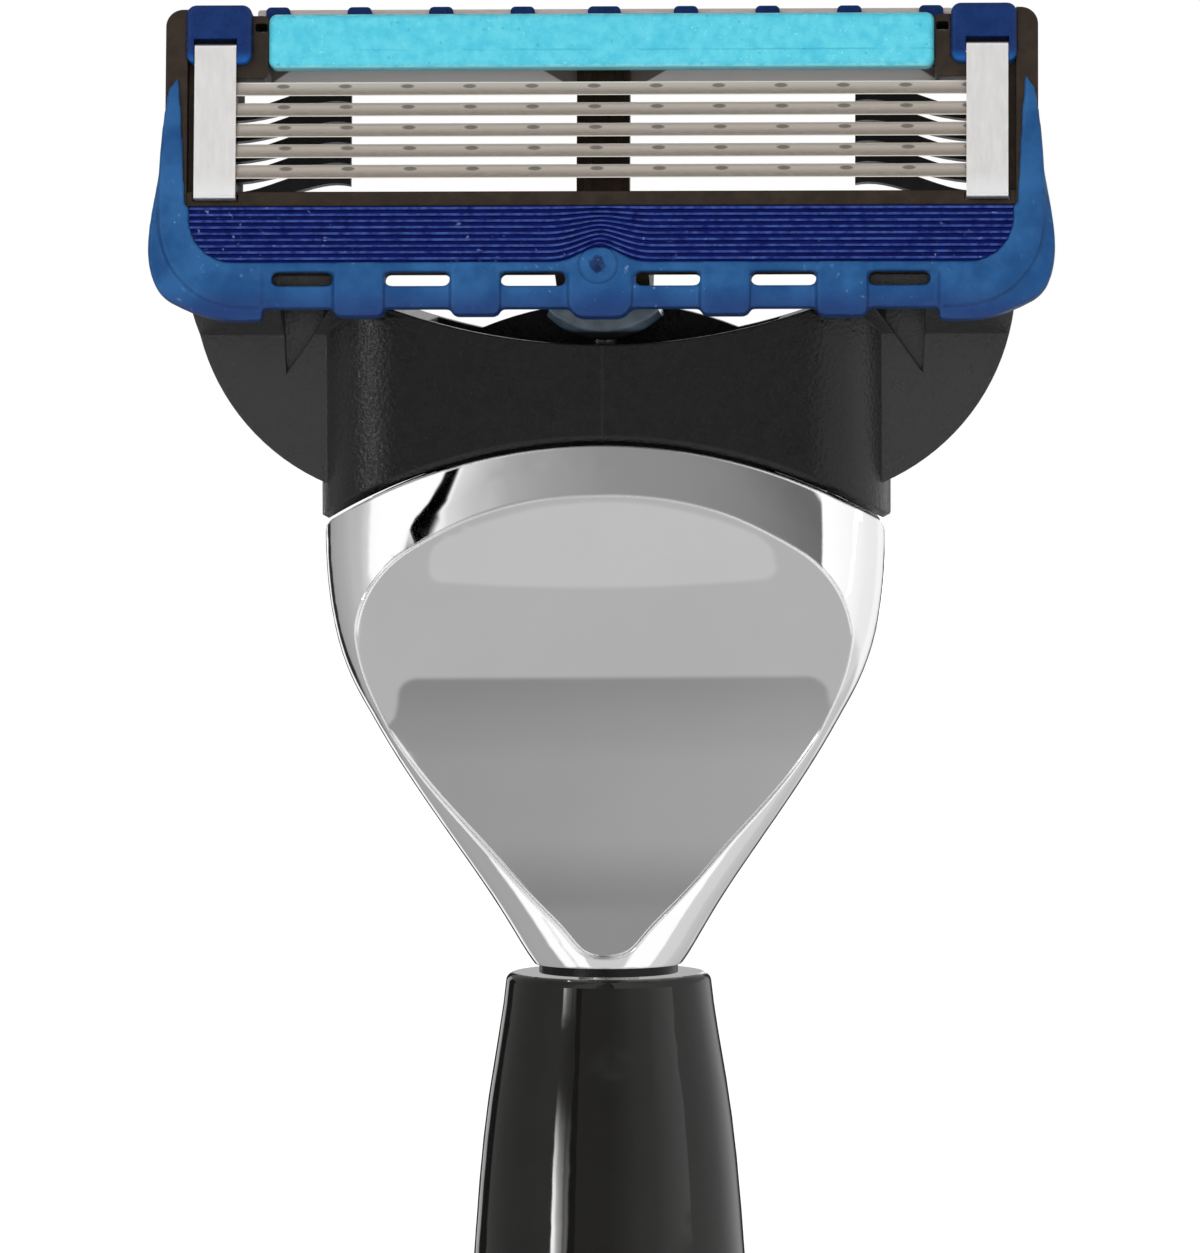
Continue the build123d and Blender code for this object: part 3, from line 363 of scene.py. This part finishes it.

# ---------------------------------------------------------------------------
# Trimmer. A blue moulded carrier with end caps, its lower rim painted lighter as a
# highlight, and a steel blade behind it that shows above the strip and below it, where
# it is painted dark as shade but for two ground stretches painted bright as light.

blue = Paint("carrier_plastic", (0.005, 0.022, 0.10), (0.008, 0.03, 0.13), 1300.0, (0.24, 0.34),
             Specular_IOR_Level=0.15)
rim_start, rim_end = 13.3, 12.7
at = blue.place(head_place)
# Painted highlight: the lower rim of the carrier is coloured a lighter blue, where its edge catches the
# light.
rim = blue.step(at["V"], rim_start, rim_end)
blue.colour(blue.mix(blue.math("MULTIPLY", rim, 0.7), blue.skin["Color"], (0.01, 0.11, 0.40)))
blue.on("trimmer_carrier")

ground = Paint("trimmer_steel", (0.50, 0.44, 0.41), (0.60, 0.53, 0.50), 1500.0, (0.3, 0.42), (1, 6, 6),
               Metallic=0.1)
at = ground.place(head_place)
aside = ground.math("ABSOLUTE", at["U"])
# Under the strip the steel shows two ground stretches with slanted ends, painted near white:
# partly their real brighter grinding, partly painted light in place of the light the recess keeps out.
inner_slant, outer_slant = -1.67, 1.5
inner = ground.step(ground.math("MULTIPLY_ADD", at["V"], inner_slant, aside), -18.9, -18.7)
outer = ground.step(ground.math("MULTIPLY_ADD", at["V"], outer_slant, aside), 35.3, 35.1)
ground_and_painted_light = ground.math("MULTIPLY", inner, outer)
# Painted shade: the rest of the steel below the strip is coloured darker, as the shade under the strip.
shade_start, shade_end = 13.4, 13.0
shaded = ground.step(at["V"], shade_start, shade_end)
tone = ground.mix(shaded, ground.skin["Color"], (0.22, 0.19, 0.17))
ground.colour(ground.mix(ground.math("MULTIPLY", ground_and_painted_light, shaded), tone, (1.0, 0.95, 0.91)))
ground.on("trimmer_blade")

# ---------------------------------------------------------------------------
# Blades. Narrow coated strips, each spot-welded to a bent stainless support. Across each
# blade the colour is painted from dark below to light above as light and shade, and the
# honed lower edge and cut upper edge are bright bare steel painted brighter as highlights.

honed = Paint("blade_steel", (0.27, 0.24, 0.20), (0.35, 0.31, 0.27), 2000.0, (0.3, 0.42), (1, 8, 8),
              Metallic=1.0)
first_v, pitch = 6.955, 1.024
at = honed.place(head_place)
row = honed.math("DIVIDE", honed.math("SUBTRACT", at["V"], first_v), pitch)
across = honed.math("MULTIPLY", honed.math("FRACT", row), pitch)
# Painted light and shade: dark near each blade's lower edge, lighter towards its top.
shade = honed.mix(honed.step(across, 0.12, 0.6), honed.skin["Color"], (0.62, 0.56, 0.50))
# Painted highlight on the honed lower edge and the cut upper edge, over their bare steel.
bare_edge_and_highlight = honed.math("MAXIMUM", honed.step(across, 0.06, 0.03), honed.step(across, 0.64, 0.68))
shade = honed.mix(honed.math("MULTIPLY", bare_edge_and_highlight, 0.8), shade, (1.0, 0.95, 0.86))
# Weld spots: small ovals a fixed way apart, shifted a little on each blade.
weld_pitch, weld_start, weld_shift = 3.05, 0.18, 0.04
half_length, half_height = 0.30, 0.1
shift = honed.math("MULTIPLY_ADD", honed.math("FLOOR", row), weld_shift, weld_start)
place = honed.math("DIVIDE", honed.math("ADD", at["U"], shift), weld_pitch)
along = honed.math("MULTIPLY", honed.math("SUBTRACT", place, honed.math("ROUND", place)), weld_pitch)
off_middle = honed.math("SUBTRACT", across, 0.5)
squares = [honed.math("POWER", honed.math("DIVIDE", away, half), 2.0)
           for away, half in ((along, half_length), (off_middle, half_height))]
oval = honed.math("ADD", *squares)
inside = honed.step(oval, 1.0, 0.8)
rim = honed.math("SUBTRACT", honed.step(oval, 1.5, 1.1), inside, clamp=True)
shade = honed.mix(honed.math("MULTIPLY", inside, 0.8), shade, (0.15, 0.135, 0.12))
honed.colour(honed.mix(honed.math("MULTIPLY", rim, 0.5), shade, (0.12, 0.105, 0.09)))
honed.on(*[f"blade_{k}" for k in range(1, 6)])

Paint("support_steel", 0.34, 0.44, 1800.0, (0.35, 0.5), Metallic=1.0).on(
    *[f"blade_support_{k}" for k in range(1, 6)])

# ---------------------------------------------------------------------------
# Studio. White sweep, soft light from all round with one lamp to the left and one
# beside the camera, which looks almost level at the neck.

scene = bpy.context.scene
scene.view_settings.view_transform = "Standard"
target = Vector((-0.0002, -0.004, 0.1124))
azimuth, elevation, roll = radians(2.5), radians(3.0), radians(-0.18)
camera_distance = 0.48
back = Vector((sin(azimuth) * cos(elevation), -cos(azimuth) * cos(elevation), sin(elevation)))
camera_data = bpy.data.cameras.new("camera")
camera_data.lens = 280
camera_data.sensor_width = 36
camera_data.clip_start = 0.01
camera = bpy.data.objects.new("camera", camera_data)
camera.location = target + back * camera_distance
camera.rotation_mode = "QUATERNION"
camera.rotation_quaternion = (-back).to_track_quat("-Z", "Y") @ Quaternion((0, 0, 1), roll)
scene.collection.objects.link(camera)
scene.camera = camera

# Light as surfaces see it, and the room as polished surfaces mirror it: pale all
# round, with grey panels in front and below, and one bright strip to the left.
world = bpy.data.worlds.new("world")
world.use_nodes = True
scene.world = world
room = Graph(world.node_tree)
towards = room.split(room.add("ShaderNodeTexCoord").outputs["Generated"])
minus_y = room.math("MULTIPLY", towards["Y"], -1.0)
around = room.math("DEGREES", room.math("ARCTAN2", towards["X"], minus_y))
up = room.math("DEGREES", room.math("ARCSINE", towards["Z"]))
turned = room.math("ABSOLUTE", around)


def panel(level, mask, value):
    """The room's brightness with a panel of another brightness laid over it."""
    part = room.math("SUBTRACT", value, level)
    return room.math("MULTIPLY_ADD", part, mask, level)


def ring(start, end, *stops):
    """Brightness between two azimuths, straight between stops of azimuth and level."""
    span = room.add("ShaderNodeMapRange", {"Value": around, "From Min": start, "From Max": end})
    node = room.add("ShaderNodeValToRGB", {"Fac": span.outputs["Result"]})
    elements = node.color_ramp.elements
    elements.remove(elements[0])
    for place, value in stops:
        element = elements.new((place - start) / (end - start))
        element.color = (value / ring_scale,) * 3 + (1.0,)
    elements.remove(elements[-1])
    return room.math("MULTIPLY", node.outputs["Color"], ring_scale)


ring_scale = 2.0
left_back = (
    (-180, 0.75), (-174, 0.7), (-172, 0.03), (-160, 0.03), (-158, 1.1), (-148, 1.1), (-146, 0.03),
    (-131, 0.03), (-129, 0.38))
left_front = ((-105, 0.45), (-90, 0.48), (-75, 0.54), (-60, 0.62), (-45, 0.79), (-37, 1.2))
middle_front = ((-12, 1.25), (12, 1.25), (60, 1.15), (90, 1.01))
right_back = (
    (118, 0.98), (130, 1.1), (146, 1.05), (154, 0.86), (160, 0.4), (164, 0.05), (172, 0.05),
    (174, 0.7), (180, 0.75))
level = ring(-180, 180, *left_back, *left_front, *middle_front, *right_back)
ground_level = ring(
    -180, 180, (-180, 0.3), (-165, 0.38), (-150, 0.4), (-120, 0.44), (-84, 0.44), (-76, 1.2),
    (79, 1.2), (84, 0.78), (118, 0.76), (125, 0.66), (140, 0.6), (153, 0.56), (170, 0.4))
level = panel(level, room.step(up, -19.0, -24.0), ground_level)
near_floor = room.math("MULTIPLY", room.step(up, -42.0, -46.0), room.step(turned, 40.0, 30.0))
near_floor_grey = 0.72
level = panel(level, near_floor, near_floor_grey)

# Level with the grip: a grey front and, to its left, a black gap and a tall bright
# strip that fades upwards.
grip_band = room.band(up, 7.25, 6.25, 1.0)
grip_front = ring(
    -60, 80, (-60, 0.62), (-50, 0.62), (-36, 0.32), (4, 0.32), (16, 0.5), (28, 0.75), (45, 0.9),
    (80, 1.1))
front_mask = room.math("MULTIPLY", grip_band, room.band(around, 10.0, 68.0, 1.0))
level = panel(level, front_mask, grip_front)
gap_mask = room.math("MULTIPLY", grip_band, room.band(around, -30.8, 2.6, 0.8))
level = panel(level, gap_mask, 0.0)
strip_peak = 37.0
strip_fade = room.math("MULTIPLY", room.step(up, 0.2, 0.8), room.step(up, 11.5, 0.0))
bright_strip = ring(
    -52, -32, (-52, 0), (-49.6, 0), (-48.6, 1.0), (-46.5, 0.85), (-45, 0.45), (-43, 0.3),
    (-40.5, 0.2), (-38.6, 0.06), (-37, 0.1), (-35.5, 0.1), (-34, 0))
strip_mask = room.math("MULTIPLY", bright_strip, strip_fade)
level = room.math("MULTIPLY_ADD", strip_mask, strip_peak, level)

# Above: a light ceiling; over the camera a thin black edge, and right of it a fall to grey.
above_level = ring(-180, 180, (-180, 0.3), *left_front, *middle_front, (150, 0.5))
crown_level = ring(
    -14, 10, (-14, 1.25), (-12.6, 1.25), (-12.5, 0.0), (-11.5, 0.0), (-11.4, 1.2), (-11.1, 0.84),
    (-10.1, 0.67), (-8.3, 0.47), (-6.4, 0.40), (-2.7, 0.325), (2, 0.297), (5, 0.26), (8.0, 0.17),
    (8.6, 0.17), (8.8, 1.2))
above_level = panel(above_level, room.band(around, -2.0, 11.5, 0.2), crown_level)
level = panel(level, room.step(up, 14.0, 15.0), above_level)

# Below the camera: a mid grey front, a lighter lens low in it, and a dark table edge
# above it that narrows upwards.
front_grey, lens_grey, dark_top_grey, lens_half_width = 0.523, 0.62, 0.29, 14.3
offset = room.math("ADD", around, 2.7)
squared = room.math("MULTIPLY", offset, offset)
across = room.math("ABSOLUTE", room.math("ADD", around, 3.0))
front_mask = room.math("MULTIPLY", room.step(across, 20.4, 19.6), room.band(up, -28.7, 14.0, 0.8))
level = panel(level, front_mask, front_grey)


def cornered(side, end, radius):
    """Mask of a panel with rounded corners, from the distances inside its side and its end."""
    short = [room.math("MAXIMUM", room.math("SUBTRACT", radius, v), 0.0) for v in (side, end)]
    squares = [room.math("POWER", v, 2.0) for v in short]
    away = room.math("SQRT", room.math("ADD", *squares))
    return room.step(away, radius + 0.15, radius - 0.35)


lens_top = room.math("MULTIPLY_ADD", squared, -0.003, -26.9)
lens_foot = room.math("MULTIPLY_ADD", squared, 0.0195, -35.0)
lens_side = room.math("SUBTRACT", lens_half_width, room.math("ABSOLUTE", offset))
to_top = room.math("SUBTRACT", lens_top, up)
to_foot = room.math("SUBTRACT", up, lens_foot)
lens_mask = cornered(lens_side, room.math("MINIMUM", to_top, to_foot), 1.2)
level = panel(level, lens_mask, lens_grey)

rise = room.math("MAXIMUM", room.math("ADD", up, 14.5), 0.0)
left_edge = room.math("MULTIPLY_ADD", rise, 0.62, -19.9)
right_edge = room.math("MULTIPLY_ADD", rise, -0.70, 13.5)
spare = room.step(up, -17.5, -9.5)
to_left = room.math("SUBTRACT", around, left_edge)
to_right = room.math("SUBTRACT", right_edge, around)
inside = room.math("MULTIPLY_ADD", spare, 0.8, room.math("MINIMUM", to_left, to_right))
dark_mask = cornered(inside, room.math("ADD", up, 18.9), 1.6)
dark_mask = room.math("MULTIPLY", dark_mask, room.step(up, 2.5, 1.0))
dark_level = room.add("ShaderNodeMapRange", {
    "Value": up, "From Min": -18.0, "From Max": -11.0, "To Min": 0.315, "To Max": 0.40})
dark_level = panel(dark_level.outputs["Result"], room.step(up, -5.0, 1.0), dark_top_grey)
dark_level = room.math("MULTIPLY", dark_level, room.math("MULTIPLY_ADD", offset, -0.006, 1.0))
level = panel(level, dark_mask, dark_level)

# What polished surfaces mirror, what lights all the others, a little more from the
# front, and the plain white that the camera sees.
even_light, front_light = 0.31, 0.12
in_front = room.math("MULTIPLY", room.band(around, 0.0, 50.0, 20.0), room.band(up, 2.0, 14.0, 8.0))
soft = room.math("MULTIPLY_ADD", in_front, front_light, even_light)
mirrored, diffuse, seen = [
    room.add("ShaderNodeBackground", {"Color": (1, 1, 1, 1), "Strength": strength}).outputs[0]
    for strength in (level, soft, 1.0)]
path = room.add("ShaderNodeLightPath").outputs
light = room.add("ShaderNodeMixShader", {0: path["Is Glossy Ray"], 1: diffuse, 2: mirrored}).outputs[0]
light = room.add("ShaderNodeMixShader", {0: path["Is Camera Ray"], 1: light, 2: seen}).outputs[0]
room.feed(room.tree.nodes["World Output"].inputs["Surface"], light)

half_side = 2
corners = [(x * half_side, y * half_side, 0) for x, y in ((-1, -1), (1, -1), (1, 1), (-1, 1))]
floor_mesh = bpy.data.meshes.new("floor")
floor_mesh.from_pydata(corners, [], [(0, 1, 2, 3)])
floor = bpy.data.objects.new("floor", floor_mesh)
scene.collection.objects.link(floor)
floor.visible_glossy = False
paper = Paint("floor", 0.90, 0.92, 20.0, (0.8, 0.9))
paper.shader.inputs["Emission Color"].default_value = (1, 1, 1, 1)
seen = paper.add("ShaderNodeLightPath").outputs["Is Camera Ray"]
# It brightens away from the razor, so the far sweep is white and the shadow stays.
reach = paper.add("ShaderNodeVectorMath", {0: paper.spot()}, operation="LENGTH").outputs["Value"]
near_glow, far_glow, glow_start, glow_end = 0.45, 0.80, 0.1, 0.6
far = paper.step(reach, glow_start, glow_end)
glow = paper.math("MULTIPLY_ADD", far, far_glow - near_glow, near_glow)
paper.feed(paper.shader.inputs["Emission Strength"], paper.math("MULTIPLY", seen, glow))
floor_mesh.materials.append(paper.material)


def lamp(name, place, aim, size, energy):
    """Soft rectangular lamp of a given width and height, aimed at a point."""
    data = bpy.data.lights.new(name, "AREA")
    data.shape = "RECTANGLE"
    data.size, data.size_y = size
    data.energy = energy
    o = bpy.data.objects.new(name, data)
    o.location = place
    o.rotation_mode = "QUATERNION"
    o.rotation_quaternion = (Vector(aim) - Vector(place)).to_track_quat("-Z", "Y")
    o.visible_glossy = False
    scene.collection.objects.link(o)


# The foot of the neck mirrors the sweep, not the grip close under it.
for name in ("grip", "neck_washer"):
    nodes[name].visible_glossy = False

middle = (0, 0, 0.11)
lamp("key", (-0.35, -0.55, 0.45), middle, (0.3, 0.3), 1.0)
lamp("fill", (0.03, -0.6, 0.14), middle, (0.25, 0.25), 2.0)
